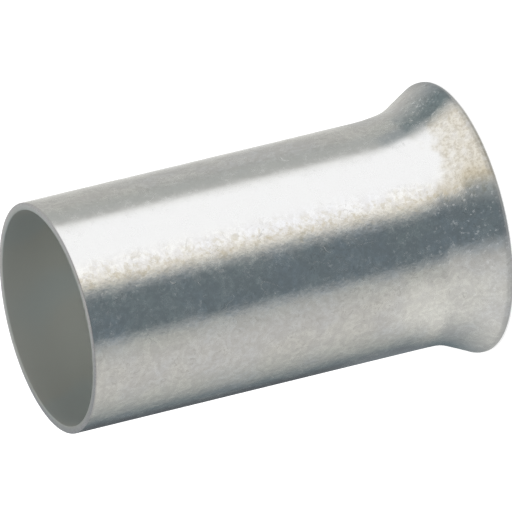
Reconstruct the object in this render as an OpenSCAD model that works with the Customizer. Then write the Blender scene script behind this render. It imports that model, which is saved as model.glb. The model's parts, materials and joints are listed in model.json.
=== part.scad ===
// Bell-mouthed wire ferrule: a thin tube of tinned copper, cut square at one end
// and flared at the other. It is slid over the bared strands of a wire and crimped.
// It stands on its bell mouth, with the mouth's face at z = 0 and the cut end up.

/* [Tube] */
// Inner diameter of the straight barrel, which takes the strands
bore_d = 5.8; // [3:0.1:10]
// Thickness of the tube's wall
wall = 0.2; // [0.17:0.01:0.4]
// Length over all, from the mouth's face to the cut end
length = 11.8; // [8:0.1:25]
// Radius on the edges of the cut end and on the mouth's inner edge
edge_r = 0.03; // [0.01:0.01:0.04]

/* [Bell mouth] */
// How far the mouth stands out beyond the barrel, measured on the radius
flare_rise = 0.55; // [0.45:0.05:1.2]
// Slope of the mouth's straight cone, from the axis
flare_angle = 27; // [20:1:32]
// Outer radius of the long sweep that leads from the barrel into the bend
sweep_r = 10; // [6:0.5:14]
// Angle through which the long sweep turns the wall
sweep_angle = 4.5; // [1:0.5:6]
// Outer radius of the bend that leads from the sweep into the cone
bend_r = 1.5; // [0.6:0.1:2]
// Inner radius of the lip, where the wall turns from the cone back along the axis
lip_r = 0.05; // [0.01:0.01:0.1]
// Height of the straight land between the lip's turn and the mouth's outer edge
lip_land = 0.02; // [0.01:0.01:0.2]
// Radius on the mouth's outer edge
mouth_edge_r = 0.12; // [0.02:0.01:0.12]

/* [Hidden] */
$fn = 180;

bore_r = bore_d / 2;
barrel_r = bore_r + wall;
mouth_r = barrel_r + flare_rise;
// How far a cutting shape runs past what it cuts
overrun = 0.5;
// Discs are this much oversize, so that they cross the lines that they should touch
nip = 0.00002;
// The sweep's slice starts at this angle before the sweep does, to cross the barrel
early = 10;
// How far wedges reach beyond the arcs that they hold, as a factor
reach = 1.5;

// Unit vector at an angle from the radial direction, as [radius, height]
function along(angle) = [cos(angle), sin(angle)];

// The wall runs down from the barrel through the sweep, the bend, the cone and the
// lip. Its centres are worked out upwards from the lip, which fixes where the cone
// lies. The bend touches the cone and the sweep, and the sweep touches the barrel.
lip_outer_r = lip_r + wall;
lip_centre = [mouth_r - lip_outer_r, mouth_edge_r + lip_land];
cone_offset = lip_centre * along(flare_angle) + lip_outer_r;
bend_x = barrel_r + sweep_r - (sweep_r - bend_r) * cos(sweep_angle);
bend_z = (cone_offset + bend_r - bend_x * cos(flare_angle)) / sin(flare_angle);
bend_centre = [bend_x, bend_z];
sweep_centre = bend_centre + (sweep_r - bend_r) * along(sweep_angle);

// Height at which the cone would be as wide as the mouth, at a depth under the surface
function lip_corner_z(depth) =
    (cone_offset - depth - (mouth_r - depth) * cos(flare_angle)) / sin(flare_angle);

// A slice of a disc between two angles
module slice(centre, r, from, to) {
    translate(centre)
        intersection() {
            circle(r + nip);
            polygon([[0, 0], reach * r * along(from), reach * r * along(to)]);
        }
}

// What a corner loses when an arc between two angles rounds it
module rounding(centre, r, from, to) {
    beyond_corner = reach * r / cos((to - from) / 2) * along((from + to) / 2);
    translate(centre)
        difference() {
            polygon([[0, 0], r * along(from), beyond_corner, r * along(to)]);
            circle(r + nip);
        }
}

// Half section from the axis out to the surface at a depth under the outer one.
// Chords span the bend and the sweep, and discs hollow them into arcs. The bend's
// disc is the more oversize, so that it crosses the sweep's as well as the cone.
module half_section(depth, low_z, high_z) {
    difference() {
        polygon([
            [0, low_z],
            [mouth_r - depth, low_z],
            [mouth_r - depth, lip_corner_z(depth)],
            bend_centre - (bend_r + depth) * along(flare_angle),
            bend_centre - (bend_r + depth) * along(sweep_angle),
            [barrel_r - depth, sweep_centre.y],
            [barrel_r - depth, high_z],
            [0, high_z]
        ]);
        rounding(lip_centre, lip_outer_r - depth, 0, flare_angle);
        translate(bend_centre) circle(bend_r + depth + 2 * nip);
        slice(sweep_centre, sweep_r + depth, 180 - early, 180 + sweep_angle);
    }
}

module mouth_edges() {
    rounding([mouth_r - mouth_edge_r, mouth_edge_r], mouth_edge_r, -90, 0);
    rounding([mouth_r - wall + edge_r, edge_r], edge_r, 180, 270);
}

module cut_edges() {
    rounding([barrel_r - edge_r, length - edge_r], edge_r, 0, 90);
    rounding([bore_r + edge_r, length - edge_r], edge_r, 90, 180);
}

module ferrule() {
    color("silver")
        rotate_extrude()
            difference() {
                half_section(0, 0, length);
                half_section(wall, -overrun, length + overrun);
                mouth_edges();
                cut_edges();
            }
}

ferrule();
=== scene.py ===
"""A bell-mouthed wire ferrule of tinned copper, which stands on its bell mouth.

All lengths are in metres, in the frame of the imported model: the tube's axis is Z, the
mouth's face is at z = 0 and the cut end is up. Azimuths are in degrees round the axis,
from the camera's side (-Y) towards -X.
"""
import json
import math

import bmesh
import bpy
from mathutils import Matrix, Vector


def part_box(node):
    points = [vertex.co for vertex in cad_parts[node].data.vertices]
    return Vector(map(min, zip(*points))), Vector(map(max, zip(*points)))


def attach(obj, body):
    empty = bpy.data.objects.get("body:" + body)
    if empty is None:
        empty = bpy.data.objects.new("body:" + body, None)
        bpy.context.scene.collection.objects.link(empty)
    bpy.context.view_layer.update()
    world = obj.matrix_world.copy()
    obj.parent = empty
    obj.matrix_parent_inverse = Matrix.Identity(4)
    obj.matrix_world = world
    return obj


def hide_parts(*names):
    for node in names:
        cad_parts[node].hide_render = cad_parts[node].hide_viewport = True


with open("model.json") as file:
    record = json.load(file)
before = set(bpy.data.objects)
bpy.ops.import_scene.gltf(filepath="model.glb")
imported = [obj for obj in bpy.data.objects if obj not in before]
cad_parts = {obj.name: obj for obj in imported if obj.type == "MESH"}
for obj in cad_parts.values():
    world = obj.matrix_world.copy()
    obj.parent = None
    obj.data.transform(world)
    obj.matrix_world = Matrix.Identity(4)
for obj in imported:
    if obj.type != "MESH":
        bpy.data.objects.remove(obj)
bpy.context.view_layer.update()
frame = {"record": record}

MM = 0.001
mounts = {mount["name"]: mount for mount in frame["record"]["mounts"]}

# The tube's own sizes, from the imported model
high_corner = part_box("ferrule")[1]
length = high_corner.z
mouth_r = high_corner.x
bore_r = mounts["wire_bore"]["dims"]["r_mm"] * MM
barrel_r = mounts["crimp_barrel"]["dims"]["r_mm"] * MM
wall = barrel_r - bore_r

# Forms of the bell mouth and of the edges, as in the part's source
edge_r = 0.03 * MM
flare_angle = math.radians(27)
sweep_r = 10 * MM
sweep_angle = math.radians(4.5)
bend_r = 1.5 * MM
lip_r = 0.05 * MM
lip_land = 0.02 * MM
mouth_edge_r = 0.12 * MM

# The barrel stands a little off the middle of its bell mouth
barrel_offset = Vector((-0.084 * MM, 0, 0))

# Camera, turned so that the tube lies across the picture
camera_elevation = math.radians(20.6)
camera_roll = math.radians(103.6)
camera_distance = 0.5
camera_lens = 1340
aim = Vector((0.217 * MM, 0, 5.723 * MM))

# Steps of the mesh round the axis, and along each stretch of the wall
segments = 384
barrel_steps = 44
sweep_steps = 10
bend_steps = 14
cone_steps = 8
lip_steps = 8
mouth_edge_steps = 8
edge_steps = 5


def add_camera():
    toward = Vector((0, -math.cos(camera_elevation), math.sin(camera_elevation)))
    side = Vector((1, 0, 0))
    up = toward.cross(side)
    right = math.cos(camera_roll) * side - math.sin(camera_roll) * up
    above = math.sin(camera_roll) * side + math.cos(camera_roll) * up
    data = bpy.data.cameras.new("camera")
    data.lens = camera_lens
    data.sensor_width = 36
    data.clip_start = 0.01
    data.clip_end = 5
    camera = bpy.data.objects.new("camera", data)
    turn = Matrix((right, above, toward)).transposed().to_4x4()
    camera.matrix_world = Matrix.Translation(aim + toward * camera_distance) @ turn
    bpy.context.collection.objects.link(camera)
    bpy.context.scene.camera = camera


# ---------------------------------------------------------------- half section

def along(angle):
    """Unit vector at an angle from the radial direction, as (radius, height)."""
    return Vector((math.cos(angle), math.sin(angle)))


def arc(centre, radius, start, end, steps):
    """Points of an arc, with both its ends."""
    turn = (end - start) / steps
    return [centre + radius * along(start + turn * i) for i in range(steps + 1)]


def line(start, end, steps):
    """Points between two ends, without the ends."""
    return [start.lerp(end, i / steps) for i in range(1, steps)]


# Centres are worked out upwards from the lip, which fixes where the cone lies
lip_outer_r = lip_r + wall
lip_centre = Vector((mouth_r - lip_outer_r, mouth_edge_r + lip_land))
cone_offset = lip_centre.dot(along(flare_angle)) + lip_outer_r
bend_x = barrel_r + sweep_r - (sweep_r - bend_r) * math.cos(sweep_angle)
bend_z = (cone_offset + bend_r - bend_x * math.cos(flare_angle)) / math.sin(flare_angle)
bend_centre = Vector((bend_x, bend_z))
sweep_centre = bend_centre + (sweep_r - bend_r) * along(sweep_angle)


def wall_line(depth):
    """The wall's surface at a depth under the outer one, from the barrel to the lip."""
    sweep_end = math.pi + sweep_angle
    bend_end = math.pi + flare_angle
    sweep = arc(sweep_centre, sweep_r + depth, math.pi, sweep_end, sweep_steps)
    bend = arc(bend_centre, bend_r + depth, sweep_end, bend_end, bend_steps)
    lip = arc(lip_centre, lip_outer_r - depth, flare_angle, 0, lip_steps)
    cone = line(bend[-1], lip[0], cone_steps)
    return sweep + bend[1:] + cone + lip


def half_section():
    """The closed outline of the wall, with what each point is: (point, inside, edge)."""
    right = math.pi / 2
    cut_z = length - edge_r
    outer_edge = arc(Vector((barrel_r - edge_r, cut_z)), edge_r, right, 0, edge_steps)
    inner_edge = arc(Vector((bore_r + edge_r, cut_z)), edge_r, 2 * right, right, edge_steps)
    outer_centre = Vector((mouth_r - mouth_edge_r, mouth_edge_r))
    inner_centre = Vector((mouth_r - wall + edge_r, edge_r))
    mouth_outer = arc(outer_centre, mouth_edge_r, 0, -right, mouth_edge_steps)
    mouth_inner = arc(inner_centre, edge_r, 3 * right, 2 * right, edge_steps)
    outer = wall_line(0)
    inner = wall_line(wall)[::-1]
    barrel_outer = line(outer_edge[-1], outer[0], barrel_steps)
    barrel_inner = line(inner[-1], inner_edge[0], barrel_steps)
    stretches = [
        (outer_edge, 0, 1),
        (barrel_outer, 0, 0),
        (outer, 0, 0),
        (mouth_outer, 0, 1),
        (mouth_inner, 1, 1),
        (inner, 1, 0),
        (barrel_inner, 1, 0),
        (inner_edge, 1, 1),
    ]
    return [(point, inside, edge) for points, inside, edge in stretches for point in points]


# ---------------------------------------------------------------- the tube

def smooth(low, high, value):
    """Rises from 0 at low to 1 at high, with a smooth step."""
    t = min(max((value - low) / (high - low), 0), 1)
    return t * t * (3 - 2 * t)


def place(point, turn):
    """A point of the half section, turned about the axis."""
    on_barrel = smooth(lip_centre.y, sweep_centre.y, point.y)
    turned = Vector((point.x * math.cos(turn), point.x * math.sin(turn), point.y))
    return turned + barrel_offset * on_barrel


def skin_faces(copies, count, closed):
    """Quads between the copies of an outline that stand all round the axis."""
    faces = []
    for i in range(copies):
        here = i * count
        there = (i + 1) % copies * count
        for j in range(count if closed else count - 1):
            k = (j + 1) % count
            faces.append((here + j, there + j, there + k, here + k))
    return faces


def turn_faces_out(mesh):
    bm = bmesh.new()
    bm.from_mesh(mesh)
    bmesh.ops.recalc_face_normals(bm, faces=bm.faces)
    bm.to_mesh(mesh)
    bm.free()


def add_tube():
    """The tube, with two attributes for its material: what lies inside, and what is edge."""
    section = half_section()
    verts = []
    for i in range(segments):
        turn = 2 * math.pi * i / segments
        verts += [place(point, turn) for point, _, _ in section]
    mesh = bpy.data.meshes.new("ferrule_tube")
    mesh.from_pydata(verts, [], skin_faces(segments, len(section), True))
    for name, column in (("inside", 1), ("edge", 2)):
        layer = mesh.attributes.new(name, "FLOAT", "POINT")
        layer.data.foreach_set("value", [float(row[column]) for row in section] * segments)
    mesh.polygons.foreach_set("use_smooth", [True] * len(mesh.polygons))
    turn_faces_out(mesh)
    tube = bpy.data.objects.new("ferrule_tube", mesh)
    bpy.context.collection.objects.link(tube)
    return tube


# ---------------------------------------------------------------- nodes

class Nodes:
    """Adds nodes to a new material or world and links them. Tones are (red, green, blue)."""

    def __init__(self, owner):
        self.owner = owner
        owner.use_nodes = True
        self.tree = owner.node_tree
        self.tree.nodes.clear()

    def put(self, socket, value):
        """Links a socket to another node's output, or sets it to a number or a tone."""
        if isinstance(value, bpy.types.NodeSocket):
            self.tree.links.new(value, socket)
        elif socket.type == "RGBA":
            socket.default_value = (*value, 1)
        else:
            socket.default_value = value

    def add(self, kind, **inputs):
        """A new node, with sockets put by name."""
        node = self.tree.nodes.new(kind)
        for name, value in inputs.items():
            self.put(node.inputs[name.replace("_", " ")], value)
        return node

    def math(self, operation, *values):
        node = self.tree.nodes.new("ShaderNodeMath")
        node.operation = operation
        for socket, value in zip(node.inputs, values):
            self.put(socket, value)
        return node.outputs[0]

    def plus(self, a, b):
        return self.math("ADD", a, b)

    def minus(self, a, b):
        return self.math("SUBTRACT", a, b)

    def rest(self, share):
        """What a share leaves of 1."""
        return self.math("SUBTRACT", 1.0, share)

    def times(self, product, *factors):
        for factor in factors:
            product = self.math("MULTIPLY", product, factor)
        return product

    def larger(self, a, b):
        return self.math("MAXIMUM", a, b)

    def spread(self, value, span, to=(0, 1)):
        """Maps a span to another one, with a smooth step."""
        low, high = span
        start, end = to
        sockets = {"From_Min": low, "From_Max": high, "To_Min": start, "To_Max": end}
        node = self.add("ShaderNodeMapRange", Value=value, **sockets)
        node.interpolation_type = "SMOOTHSTEP"
        return node.outputs[0]

    def window(self, value, low, high, soft):
        """1 between low and high, with soft ends."""
        rise = self.spread(value, (low - soft, low + soft))
        fall = self.spread(value, (high - soft, high + soft), (1, 0))
        return self.times(rise, fall)

    def blend(self, factor, a, b, kind="MIX"):
        """Mixes two tones, for which the Mix node has its inputs 6 and 7."""
        node = self.tree.nodes.new("ShaderNodeMix")
        node.data_type = "RGBA"
        node.blend_type = kind
        for index, value in ((0, factor), (6, a), (7, b)):
            self.put(node.inputs[index], value)
        return node.outputs[2]

    def azimuth(self, x, y):
        """Degrees round the axis, from the camera's side (-Y) towards -X."""
        turn = self.math("ARCTAN2", self.times(x, -1.0), self.times(y, -1.0))
        return self.math("DEGREES", turn)


# ---------------------------------------------------------------- tin plating

# Tones of the plating: the ground's two, and those that lie over it
cool_tin = (0.795, 0.802, 0.825)
warm_tin = (0.83, 0.826, 0.80)
patch_tone = (0.89, 0.885, 0.87)
wisp_tone = (0.69, 0.68, 0.68)
pit_tone = (0.56, 0.55, 0.54)
grain_tone = (0.66, 0.65, 0.64)
clean_tone = (0.772, 0.774, 0.774)
# Brownish tone of the painted reflection flecks on the bright band's lower edge
reflection_fleck_tone = (0.60, 0.565, 0.485)
dark_stain = (0.525, 0.49, 0.42)
pale_stain = (0.67, 0.64, 0.57)
speck_tone = (0.84, 0.86, 0.87)
rim_tone = (0.52, 0.50, 0.51)
cool_bore = (0.765, 0.80, 0.79)
warm_bore = (0.79, 0.795, 0.76)
bore_shade = (0.86, 0.86, 0.86)

# Heights are in mm here. The stain covers the mouth's bright side up to a ragged border,
# which rises by a little towards the stain's lower side.
stain_z = (0.55, 1.28)
stain_ragged = 1.6
stain_rise = 0.28
# On the way up, specks thin out over the first of these stretches, the rim's tone comes
# in over the second and the bore darkens over the third
crowded_z = (0.8, 4.5)
rim_z = (5, 6)
bore_shade_z = (9.8, 11.7)

# Azimuths in degrees. Each window has a third number, which is how soft its ends are.
stain_side = (-51, -13, 4)
stain_rise_side = (-34, -20)
# The bright band, which is smooth and clean, and the ragged row of painted spots on its lower
# edge
clean_side = (-56, -20, 5)
# The spots are painted reflection: brownish flecks where the bright band breaks up into the
# dark band beside it
reflection_fleck_side = (-17, -8, 4)
reflection_fleck_ragged = 9.0
# Specks don't show on the bright band, and this share of them is hidden lower down
bright_side = (-52, -12, 4)
lower_side = (50, 112, 8)
lower_hidden = 0.85

# How much of each layer shows, and of the dots among the specks
clean_share = 0.92
speck_share = 0.3
rim_share = 0.4
dot_share = 0.8
# Dots and hair lines are full up to this share of their radius or width, and then fade
full_share = 0.4

# Roughness of the bore, and what specks and scratches add to the outside's
bore_roughness = 0.6
speck_roughness = 0.1
scratch_roughness = 0.25
# Specks are less metallic by this much, and the clean band is smoother by that much
speck_dullness = 0.16
clean_calm = 0.85
# Relief of the mottling, of the grain and of the specks
mottle_depth = 0.013 * MM
grain_depth = 0.004 * MM
speck_depth = 0.0015 * MM


class Tin(Nodes):
    """The tin plating. Its clouds are laid out in mm, and are mostly from 0.3 to 0.7."""

    def __init__(self):
        super().__init__(bpy.data.materials.new("tin_plating"))
        coord = self.add("ShaderNodeTexCoord").outputs["Object"]
        in_mm = self.add("ShaderNodeMapping", Vector=coord, Scale=(1 / MM,) * 3)
        self.where = in_mm.outputs[0]
        x, y, self.height = self.add("ShaderNodeSeparateXYZ", Vector=self.where).outputs
        self.side = self.azimuth(x, y)
        self.inside = self.attribute("inside")
        self.outside = self.rest(self.inside)
        self.mottle = self.cloud(2.4, detail=3, rough=0.5)
        self.fine = self.cloud(8.0, detail=3, rough=0.6)
        self.place_stains()
        self.specks = self.find_specks()

    def attribute(self, name):
        node = self.add("ShaderNodeAttribute")
        node.attribute_name = name
        return node.outputs["Fac"]

    def cloud(self, scale, detail, rough, swirl=0.0):
        inputs = {"Scale": scale, "Detail": detail, "Roughness": rough, "Distortion": swirl}
        return self.add("ShaderNodeTexNoise", Vector=self.where, **inputs).outputs[0]

    def dots(self, scale, share, radius):
        """Scattered round spots: 1 inside a spot, in that share of the cells of a grid."""
        cells = self.add("ShaderNodeTexVoronoi", Vector=self.where, Scale=scale)
        chance = self.add("ShaderNodeSeparateColor", Color=cells.outputs["Color"]).outputs[0]
        chosen = self.math("LESS_THAN", chance, share)
        spot = self.spread(cells.outputs["Distance"], (radius * full_share, radius), (1, 0))
        return self.times(chosen, spot)

    def hair_lines(self, width):
        """Fine curved scratches: the level lines of one cloud, where another is high."""
        cloud = self.cloud(1.1, detail=1, rough=0.3)
        other = self.cloud(1.87, detail=1, rough=0.3)
        level = self.math("ABSOLUTE", self.minus(cloud, 0.5))
        hair = self.spread(level, (width * full_share, width), (1, 0))
        return self.times(hair, self.spread(other, (0.6, 0.64)))

    def place_stains(self):
        """Where the mouth is stained, the band clean and the band's lower edge painted with
        flecks of reflection.
        """
        uneven = self.times(self.minus(self.mottle, 0.5), stain_ragged)
        rise = self.spread(self.side, stain_rise_side, (0, stain_rise))
        height = self.minus(self.plus(self.height, uneven), rise)
        on_mouth = self.spread(height, stain_z, (1, 0))
        # The painted reflection flecks follow the bright band's lower edge, made ragged by the
        # mottle
        ragged_side = self.plus(self.side, self.times(uneven, reflection_fleck_ragged))
        on_edge = self.window(ragged_side, *reflection_fleck_side)
        self.stained = self.times(on_mouth, self.window(self.side, *stain_side))
        self.clean = self.times(self.window(self.side, *clean_side), self.rest(on_mouth))
        self.reflection_flecks = self.times(on_edge, self.outside)

    def find_specks(self):
        """Pale specks, crowded near the mouth and in some patches, where the light is dull."""
        patches = self.cloud(1.3, detail=2, rough=0.5)
        crowd = self.spread(patches, (0.42, 0.6), (0.15, 0.6))
        crowd = self.larger(crowd, self.spread(self.height, crowded_z, (1, 0)))
        lower = self.times(self.window(self.side, *lower_side), lower_hidden)
        dull = self.minus(self.rest(self.window(self.side, *bright_side)), lower)
        flecks = self.spread(self.cloud(9.0, detail=2, rough=0.55), (0.58, 0.72))
        dots = self.times(self.dots(5.5, share=0.14, radius=0.26), dot_share)
        return self.times(self.larger(flecks, dots), crowd, dull, self.outside)

    def wisps(self):
        wisps = self.cloud(2.6, detail=5, rough=0.62, swirl=1.4)
        return self.spread(wisps, (0.41, 0.58), (0.65, 0))

    def pits(self):
        """Small dark pits, crowded in some patches."""
        pits = self.spread(self.cloud(6.0, detail=3, rough=0.6, swirl=1.2), (0.57, 0.65))
        patches = self.cloud(0.9, detail=1, rough=0.5)
        return self.times(pits, self.spread(patches, (0.42, 0.58), (0.15, 0.6)))

    def spots(self):
        """Brownish spots on the bright band's lower edge, which are painted reflection: flecks
        where the band breaks up into the dark beside it.
        """
        spots = self.spread(self.cloud(6.0, detail=4, rough=0.65), (0.47, 0.62), (0, 0.7))
        return self.times(spots, self.reflection_flecks)

    def stain(self):
        """The mouth's stain, which is patchy."""
        patches = self.cloud(3.2, detail=3, rough=0.6)
        return self.times(self.stained, self.spread(patches, (0.34, 0.54), (0.6, 1)))

    def stain_tone(self):
        grains = self.cloud(14.0, detail=2, rough=0.6)
        speckle = self.plus(self.times(self.fine, 0.6), self.times(grains, 0.4))
        return self.blend(self.spread(speckle, (0.40, 0.58)), dark_stain, pale_stain)

    def rim(self):
        """The cut end's outer edge. The mouth's is left out by its height."""
        edge = self.spread(self.attribute("edge"), (0.9, 1.0))
        return self.times(edge, self.outside, self.spread(self.height, rim_z))

    def outer_tone(self):
        ground = self.spread(self.cloud(0.6, detail=2, rough=0.5), (0.4, 0.6))
        tone = self.blend(ground, cool_tin, warm_tin)
        layers = [
            (self.spread(self.mottle, (0.42, 0.60), (0, 0.35)), patch_tone),
            (self.wisps(), wisp_tone),
            (self.pits(), pit_tone),
            (self.spread(self.fine, (0.42, 0.56), (0.4, 0)), grain_tone),
            (self.times(self.clean, clean_share), clean_tone),
            # Painted reflection: brownish flecks on the bright band's lower edge
            (self.spots(), reflection_fleck_tone),
            (self.stain(), self.stain_tone()),
            (self.times(self.specks, speck_share), speck_tone),
            (self.times(self.rim(), rim_share), rim_tone),
        ]
        for share, layer in layers:
            tone = self.blend(share, tone, layer)
        return tone

    def bore_tone(self):
        """A dull tone, darker towards the cut end."""
        patches = self.spread(self.cloud(0.35, detail=1, rough=0.5), (0.42, 0.58))
        tone = self.blend(patches, cool_bore, warm_bore)
        shade = self.blend(self.spread(self.height, bore_shade_z), (1, 1, 1), bore_shade)
        return self.blend(1.0, tone, shade, "MULTIPLY")

    def roughness(self):
        """Uneven outside, and even in the bore."""
        scratches = self.times(self.hair_lines(width=0.006), self.outside)
        rough = self.spread(self.mottle, (0.35, 0.65), (0.14, 0.24))
        rough = self.plus(rough, self.spread(self.fine, (0.5, 0.7), (0, 0.10)))
        rough = self.plus(rough, self.times(self.specks, speck_roughness))
        rough = self.plus(rough, self.times(scratches, scratch_roughness))
        mix = self.add("ShaderNodeMix", Factor=self.inside, A=rough, B=bore_roughness)
        return mix.outputs[0]

    def normal(self):
        """The outside's relief, which is low on the clean band."""
        calm = self.rest(self.times(self.clean, clean_calm))
        mottle = self.times(self.mottle, self.outside, calm)
        grain = self.times(self.fine, self.outside, calm)
        bump = self.add("ShaderNodeBump", Strength=1.0, Distance=mottle_depth, Height=mottle)
        for depth, relief in ((grain_depth, grain), (speck_depth, self.specks)):
            inputs = {"Distance": depth, "Height": relief, "Normal": bump.outputs[0]}
            bump = self.add("ShaderNodeBump", Strength=1.0, **inputs)
        return bump.outputs[0]

    def finish(self):
        metal = self.rest(self.times(self.specks, speck_dullness))
        shader = self.add(
            "ShaderNodeBsdfPrincipled",
            Base_Color=self.blend(self.inside, self.outer_tone(), self.bore_tone()),
            Metallic=metal,
            Roughness=self.roughness(),
            Normal=self.normal(),
        )
        self.add("ShaderNodeOutputMaterial", Surface=shader.outputs[0])
        return self.owner


# ---------------------------------------------------------------- studio

# The floor's own grey, and its glow where it is seen directly. The world's strength as
# light on a surface, and where it is seen.
floor_grey = (0.35, 0.35, 0.35)
floor_glow = 0.72
world_strength = (0.55, 1.0)
lamp_place = (0.1, -0.1, 0.6)
lamp_size = 0.5
lamp_power = 6.0


def seen_directly(n):
    """1 for rays that the camera, metal or glass sends out, 0 for light on a surface."""
    path = n.add("ShaderNodeLightPath")
    seen = n.larger(path.outputs["Is Camera Ray"], path.outputs["Is Glossy Ray"])
    return n.larger(seen, path.outputs["Is Transmission Ray"])


def add_floor():
    bpy.ops.mesh.primitive_plane_add(size=1.2, location=(0, 0, 0))
    floor = bpy.context.object
    floor.name = "floor"
    n = Nodes(bpy.data.materials.new("floor_white"))
    paper = n.add("ShaderNodeBsdfDiffuse", Color=floor_grey)
    strength = n.times(seen_directly(n), floor_glow)
    glow = n.add("ShaderNodeEmission", Color=(1, 1, 1), Strength=strength)
    both = n.add("ShaderNodeAddShader")
    n.put(both.inputs[0], paper.outputs[0])
    n.put(both.inputs[1], glow.outputs[0])
    n.add("ShaderNodeOutputMaterial", Surface=both.outputs[0])
    floor.data.materials.append(n.owner)


def add_world():
    n = Nodes(bpy.data.worlds.new("studio"))
    strength = n.spread(seen_directly(n), (0, 1), world_strength)
    background = n.add("ShaderNodeBackground", Color=(1, 1, 1), Strength=strength)
    n.add("ShaderNodeOutputWorld", Surface=background.outputs[0])
    bpy.context.scene.world = n.owner


def add_lamp():
    """A soft lamp overhead, which no reflection shows."""
    data = bpy.data.lights.new("lamp_over", "AREA")
    data.size = lamp_size
    data.energy = lamp_power
    lamp = bpy.data.objects.new("lamp_over", data)
    lamp.visible_glossy = False
    lamp.location = lamp_place
    lamp.rotation_mode = "QUATERNION"
    lamp.rotation_quaternion = Vector(lamp_place).to_track_quat("Z", "Y")
    bpy.context.collection.objects.link(lamp)


# ---------------------------------------------------------------- light tent

# A sleeve of light round the part, which only the metal sees. It is narrower where it
# lights the bell mouth, steps out to where it lights the barrel, and has a base round
# the mouth's edge.
tent_r = 5.2 * MM
bell_tent_r = 4.0 * MM
bell_tent_h = 1.5 * MM
tent_h = 40 * MM
base_z = 0.004 * MM
base_inner_r = mouth_r - 0.08 * MM
tent_steps = 256
tent_strength = 1.17

# Tones of the tent, as a share of its strength
white = (1.00, 1.00, 1.00)
pale = (0.90, 0.90, 0.88)
cream = (0.80, 0.76, 0.67)
silver = (0.60, 0.60, 0.575)
warm = (0.535, 0.53, 0.505)
grey = (0.47, 0.47, 0.45)
dim = (0.42, 0.43, 0.41)
steel = (0.32, 0.345, 0.35)
shadow = (0.18, 0.22, 0.23)
slate = (0.142, 0.174, 0.190)
coal = (0.095, 0.105, 0.115)

# The bands of light that the barrel and the bell mouth show, by azimuth in degrees. They
# run from behind over the side that is upper in the picture to the lower side: grey,
# white, slate, a warm fill and coal.
barrel_light = [
    (-180, grey),
    (-140, pale),
    (-126, silver),
    (-112, grey),
    (-96, grey),
    (-84, dim),
    (-75, dim),
    (-70, grey),
    (-65.5, pale),
    (-60.5, white),
    (-22, white),
    (-15.5, cream),
    (-8.5, steel),
    (-3, slate),
    (22.5, slate),
    (27.5, steel),
    (31, dim),
    (46, warm),
    (66, warm),
    (84, dim),
    (108, slate),
    (118, coal),
    (155, coal),
    (170, grey),
    (180, grey),
]
bell_light = [
    (-180, grey),
    (-122, silver),
    (-100, grey),
    (-84, steel),
    (-74, shadow),
    (-66, shadow),
    (-60, silver),
    (-54.5, white),
    (-26, white),
    (-19.5, cream),
    (-12, steel),
    (-3, slate),
    (13.5, slate),
    (18.5, steel),
    (24, grey),
    (38, silver),
    (62, silver),
    (106, slate),
    (122, coal),
    (155, coal),
    (170, grey),
    (180, grey),
]

# Height at which the bell mouth's light gives way to the barrel's. It is greater by the
# swing on the camera's side, less by as much behind, and it dips at the bright band.
turn_z = 1.16 * MM
turn_swing = 0.26 * MM
turn_half = 0.05 * MM
turn_dip = 0.16 * MM
turn_dip_side = (-50, -11, 8)

# The bands lean: on the way up and out along the tent, each turns by so many degrees a
# metre. bell_lean is for the bright band's upper edge. Each change is a span of azimuths
# and the lean beyond it: for the bright band's lower edge, then for the fill, and last
# for the coal. The bands have their listed azimuths at bell_path on that way. For the
# barrel only the lower side leans, and only below barrel_path.
bell_path = 0.9 * MM
bell_lean = 3 / MM
bell_lean_changes = [((-50, -30), 4 / MM), ((-3, 3), -3 / MM), ((50, 80), 14 / MM)]
barrel_path = 2.9 * MM
barrel_lean = 3 / MM

# Two small reflectors, for the sweep of the bell mouth and for the underside near it
reflector_side = (44, 76, 14)
reflector_z = (1.4 * MM, 2.8 * MM)
reflector_tone = (0.68, 0.68, 0.645)
under_side = (92, 150, 8)
under_z = (2.0 * MM, 3.9 * MM)
under_tone = (0.17, 0.19, 0.205)
# A dark card that leans, on the step between the two sleeves
card_side = (-74, -61.5, 4)
card_lean = 5 / MM
card_r = (4.5 * MM, 5.1 * MM)

# The foot, which lights the mouth's lip, and the base, which lights its edge. Each has a
# grey of its own and a share of the bell mouth's light.
foot_z = (0.05 * MM, 0.45 * MM)
foot_grey = (0.19, 0.205, 0.215)
foot_share = 0.65
base_r = (3.72 * MM, 3.85 * MM)
base_grey = (0.34, 0.35, 0.35)
base_share = 0.25
# The top, which lights the cut rim and the bore. It is darker behind the lower side,
# which the rim shows, and on the camera's side, which lights the bore's far wall.
top_z = (12.0 * MM, 12.4 * MM)
top_grey = (0.445, 0.45, 0.445)
top_shade_side = (100, 166, 7)
top_shade = (0.31, 0.325, 0.335)
front_shade_side = (-55, 55, 30)
front_shade = (0.33, 0.335, 0.33)


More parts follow.
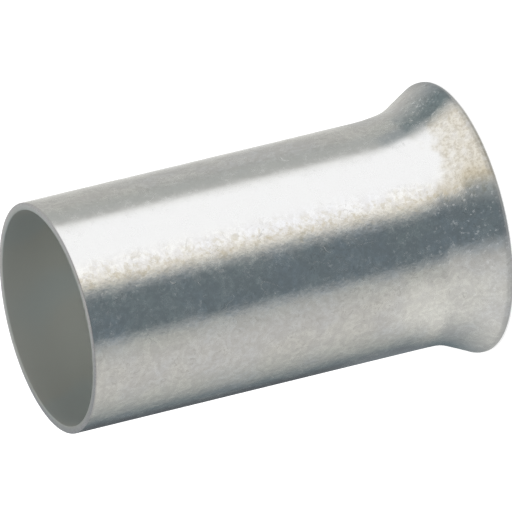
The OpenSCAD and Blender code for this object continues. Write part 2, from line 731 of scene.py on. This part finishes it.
class TentLight(Nodes):
    """The tent's light, by azimuth, height and distance from the axis."""

    def __init__(self):
        super().__init__(bpy.data.materials.new("light_tent"))
        coord = self.add("ShaderNodeTexCoord").outputs["Object"]
        x, y, self.z = self.add("ShaderNodeSeparateXYZ", Vector=coord).outputs
        self.side = self.azimuth(x, y)
        self.from_axis = self.math("SQRT", self.plus(self.times(x, x), self.times(y, y)))
        self.past_bell = self.minus(self.from_axis, bell_tent_r)
        self.path = self.plus(self.z, self.past_bell)

    def ramp(self, side, light):
        """A colour ramp once round the axis."""
        share = self.plus(self.math("DIVIDE", side, 360.0), 0.5)
        ramp = self.add("ShaderNodeValToRGB", Fac=share)
        elements = ramp.color_ramp.elements
        elements.remove(elements[1])
        for azimuth, tone in light:
            elements.new((azimuth + 180) / 360).color = (*tone, 1)
        elements.remove(elements[0])
        return ramp.outputs[0]

    def for_barrel(self):
        below = self.larger(self.minus(barrel_path, self.path), 0.0)
        lower_half = self.math("GREATER_THAN", self.side, 0.0)
        lead = self.times(below, barrel_lean, lower_half)
        light = self.ramp(self.plus(self.side, lead), barrel_light)
        reflector = self.window(self.side, *reflector_side)
        reflector = self.times(reflector, self.spread(self.z, reflector_z, (1, 0)))
        light = self.blend(reflector, light, reflector_tone)
        under = self.window(self.side, *under_side)
        under = self.times(under, self.spread(self.z, under_z, (1, 0)))
        light = self.blend(under, light, under_tone, "LIGHTEN")
        leaning_side = self.plus(self.side, self.times(self.past_bell, card_lean))
        card = self.window(leaning_side, *card_side)
        card = self.times(card, self.spread(self.from_axis, card_r, (1, 0)))
        return self.blend(card, light, steel)

    def for_bell(self):
        lean = bell_lean
        before = bell_lean
        for span, after in bell_lean_changes:
            lean = self.plus(self.spread(self.side, span, (0, after - before)), lean)
            before = after
        lead = self.times(self.minus(self.path, bell_path), lean)
        return self.ramp(self.plus(self.side, lead), bell_light)

    def above_turn(self):
        """1 above the height at which the barrel's light begins, 0 below it."""
        swing = self.times(self.math("COSINE", self.math("RADIANS", self.side)), turn_swing)
        dip = self.times(self.window(self.side, *turn_dip_side), turn_dip)
        height = self.minus(self.minus(self.z, self.minus(swing, dip)), turn_z)
        return self.spread(height, (-turn_half, turn_half))

    def for_top(self):
        top = self.blend(self.window(self.side, *top_shade_side), top_grey, top_shade)
        return self.blend(self.window(self.side, *front_shade_side), top, front_shade)

    def finish(self):
        bell = self.for_bell()
        light = self.blend(self.above_turn(), bell, self.for_barrel())
        foot = self.blend(foot_share, foot_grey, bell)
        light = self.blend(self.spread(self.z, foot_z, (1, 0)), light, foot)
        base = self.blend(base_share, base_grey, bell)
        light = self.blend(self.spread(self.from_axis, base_r, (1, 0)), light, base)
        light = self.blend(self.spread(self.z, top_z), light, self.for_top())
        glow = self.add("ShaderNodeEmission", Color=light, Strength=tent_strength)
        self.add("ShaderNodeOutputMaterial", Surface=glow.outputs[0])
        return self.owner


def add_light_tent():
    outline = [
        (base_inner_r, base_z),
        (bell_tent_r, base_z),
        (bell_tent_r, bell_tent_h),
        (tent_r, bell_tent_h),
        (tent_r, tent_h),
    ]
    verts = []
    for i in range(tent_steps):
        turn = 2 * math.pi * i / tent_steps
        verts += [(r * math.cos(turn), r * math.sin(turn), z) for r, z in outline]
    mesh = bpy.data.meshes.new("light_tent")
    mesh.from_pydata(verts, [], skin_faces(tent_steps, len(outline), False))
    mesh.materials.append(TentLight().finish())
    tent = bpy.data.objects.new("light_tent", mesh)
    bpy.context.collection.objects.link(tent)
    tent.visible_camera = False
    tent.visible_diffuse = False
    tent.visible_transmission = False
    tent.visible_shadow = False


# ---------------------------------------------------------------- the scene

add_camera()
add_world()
add_floor()
add_lamp()
add_light_tent()

ferrule = add_tube()
ferrule.data.materials.append(Tin().finish())
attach(ferrule, "root")
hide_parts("ferrule")

bpy.context.scene.view_settings.view_transform = "Standard"
